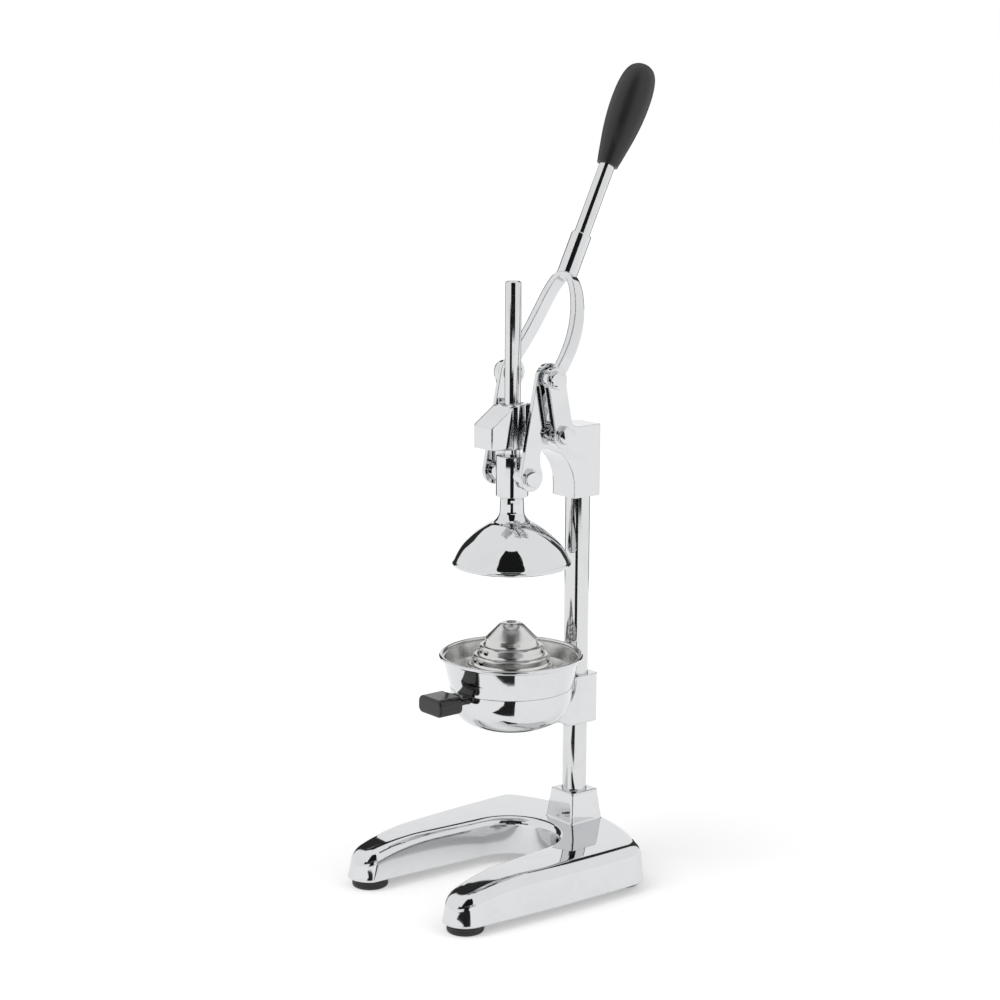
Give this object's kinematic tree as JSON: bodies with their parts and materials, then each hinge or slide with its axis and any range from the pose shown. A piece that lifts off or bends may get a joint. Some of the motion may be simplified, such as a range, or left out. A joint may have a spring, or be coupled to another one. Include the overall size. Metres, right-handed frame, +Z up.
{
  "type": "lever citrus juice press",
  "caption": "Hand lever press for citrus fruit: a forked lever and links push a bell-shaped cup down onto a ribbed cone in stacked bowls over a U-shaped base.",
  "frame": {"origin": "below the middle of the whole press, on the table under the rubber feet", "axes": "+Z up, -Y to the front where the glass stands, X = 0 is the plane of symmetry"},
  "size_m": [0.196, 0.2806, 0.7196],
  "materials": {
    "chrome_casting": "polished chrome plate on a die casting",
    "polished_steel": "mirror polished",
    "brushed_stainless": "satin, spun",
    "zinc_steel": "zinc plated",
    "bronze": "sintered bronze",
    "grip_plastic": "fine matte grain",
    "tab_plastic": "glossy",
    "rubber": "matte"
  },
  "bodies": {
    "stand": {"base_casting": "chrome_casting", "foot_front_left": "rubber", "foot_front_right": "rubber", "foot_rear_left": "rubber", "foot_rear_right": "rubber", "foot_screws": "zinc_steel", "column": "polished_steel", "column_bolt": "zinc_steel", "column_washer": "zinc_steel", "bowl_bracket": "chrome_casting", "bracket_screws": "zinc_steel", "head_casting": "chrome_casting", "head_screws": "zinc_steel", "guide_bushes": "bronze", "lever_pivot_screw_left": "polished_steel", "lever_pivot_screw_right": "polished_steel"},
    "lever": {"lever_fork": "chrome_casting", "lever_bushes": "bronze", "lever_shaft": "polished_steel", "lever_grip": "grip_plastic", "link_pivot_screws": "polished_steel", "link_pivot_nuts": "polished_steel", "link_spacers": "polished_steel"},
    "links": {"link_left": "polished_steel", "link_right": "polished_steel", "crosshead_screw_left": "polished_steel", "crosshead_screw_right": "polished_steel"},
    "plunger": {"plunger_rod": "polished_steel", "crosshead": "polished_steel", "crosshead_screw_rear": "zinc_steel", "press_bell": "polished_steel"},
    "lower_bowl": {"juice_bowl": "polished_steel", "bowl_tongue": "polished_steel", "bowl_tab": "tab_plastic", "tab_tang": "polished_steel"},
    "upper_bowl": {"upper_bowl": "brushed_stainless", "reamer_cone": "brushed_stainless"}
  },
  "joints": [
    {"name": "lever_swing", "type": "hinge", "parent": "stand", "child": "lever", "pos_m": [0, 0.01347, 0.4055], "axis": [1, 0, 0], "range_deg": [0, 120]},
    {"name": "link_swing", "type": "hinge", "parent": "lever", "child": "links", "pos_m": [0, 0.00349, 0.45409], "axis": [-1, 0, 0], "range_deg": [0, 102]},
    {"name": "plunger_travel", "type": "slide", "parent": "stand", "child": "plunger", "axis": [0, 0, -1], "range_m": [0, 0.0837]},
    {"name": "lower_bowl_lift", "type": "slide", "parent": "stand", "child": "lower_bowl", "axis": [0, 0, 1], "range_m": [0, 0.004]},
    {"name": "upper_bowl_turn", "type": "hinge", "parent": "lower_bowl", "child": "upper_bowl", "pos_m": [0, -0.01533, 0.18], "axis": [0, 0, 1], "continuous": true}
  ],
  "couplings": [
    {"joint": "link_swing", "follows": "lever_swing", "ratio": 0.8487},
    {"joint": "plunger_travel", "follows": "lever_swing", "m_per_rad": 0.039726}
  ]
}
